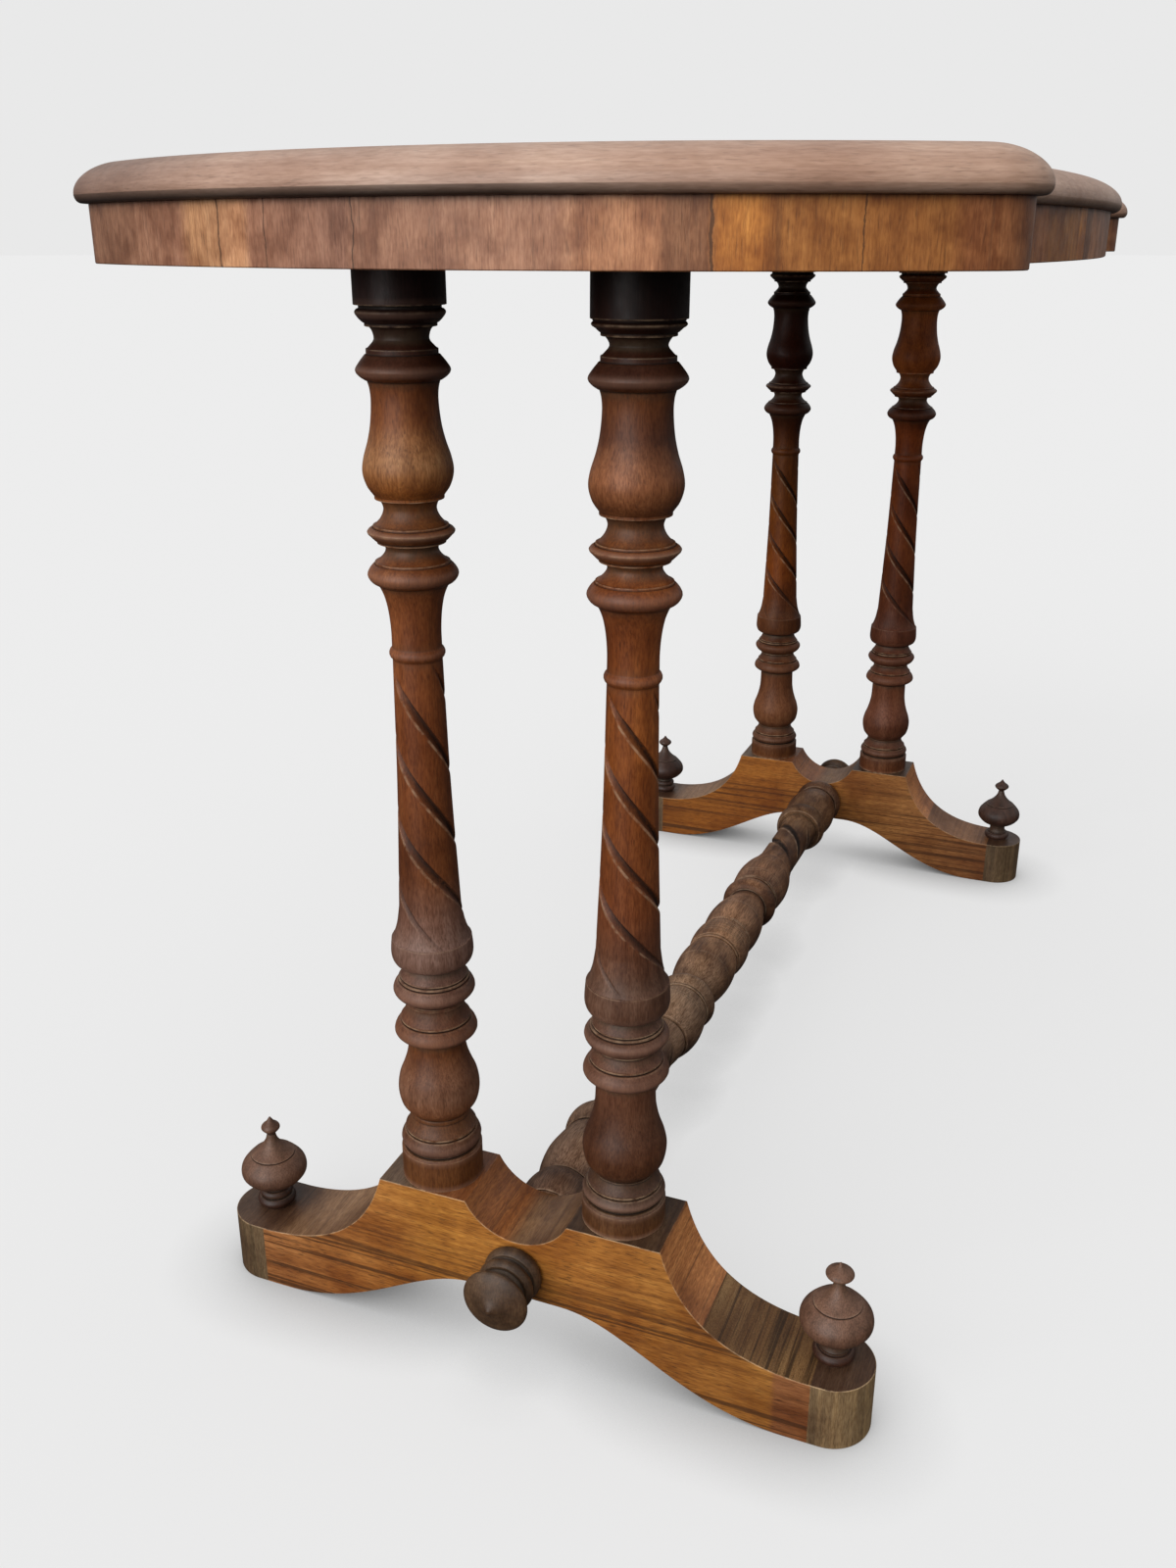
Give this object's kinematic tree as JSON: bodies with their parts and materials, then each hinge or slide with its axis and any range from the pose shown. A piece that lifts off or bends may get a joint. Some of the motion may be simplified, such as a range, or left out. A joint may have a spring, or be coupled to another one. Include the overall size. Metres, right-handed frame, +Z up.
{
  "type": "games table",
  "caption": "Walnut games table: serpentine moulded top with an inlaid chessboard, on twist-fluted turned columns, shaped feet with finials and a turned stretcher.",
  "frame": {"origin": "on the floor, under the middle of the top", "axes": "+X along the table's length, away from the picture's near end; +Y across the table, towards the picture's left; +Z up"},
  "size_m": [1.064, 0.5258, 0.72],
  "materials": {
    "edge_moulding": "faded satin walnut",
    "frieze_veneer": "cross-grain walnut veneer, old satin polish",
    "foot_veneer": "walnut veneer, old satin polish",
    "toe_veneer": "dark walnut veneer, worn",
    "turned_walnut": "turned walnut, old satin polish",
    "carcass_pine": "bare sawn pine, browned with age",
    "field_veneer": "walnut veneer, old satin polish",
    "board_band": "cross-banded walnut veneer, satin",
    "board_stringing": "boxwood line, satin",
    "light_squares": "mellow maple veneer, satin",
    "dark_squares": "dark rosewood veneer, satin",
    "screw_steel": "dull iron"
  },
  "bodies": {
    "root": {"near_end_moulding": "edge_moulding", "near_end_frieze_core": "carcass_pine", "near_end_frieze_veneer": "frieze_veneer", "near_bearer": "carcass_pine", "near_knob": "turned_walnut", "near_foot_core": "carcass_pine", "near_foot_face_veneers": "foot_veneer", "near_foot_top_veneers": "foot_veneer", "near_foot_toe_wraps": "toe_veneer", "near_left_column": "turned_walnut", "near_left_finial": "turned_walnut", "near_right_column": "turned_walnut", "near_right_finial": "turned_walnut", "far_end_moulding": "edge_moulding", "far_end_frieze_core": "carcass_pine", "far_end_frieze_veneer": "frieze_veneer", "far_bearer": "carcass_pine", "far_knob": "turned_walnut", "far_foot_core": "carcass_pine", "far_foot_face_veneers": "foot_veneer", "far_foot_top_veneers": "foot_veneer", "far_foot_toe_wraps": "toe_veneer", "far_left_column": "turned_walnut", "far_left_finial": "turned_walnut", "far_right_column": "turned_walnut", "far_right_finial": "turned_walnut", "left_side_moulding": "edge_moulding", "left_side_frieze_core": "carcass_pine", "left_side_frieze_veneer": "frieze_veneer", "right_side_moulding": "edge_moulding", "right_side_frieze_core": "carcass_pine", "right_side_frieze_veneer": "frieze_veneer", "top_core": "carcass_pine", "top_field_veneer": "field_veneer", "board_band": "board_band", "board_stringing": "board_stringing", "board_light_squares": "light_squares", "board_dark_squares": "dark_squares", "bearer_screws": "screw_steel", "glue_blocks": "carcass_pine", "stretcher": "turned_walnut"}
  },
  "joints": []
}
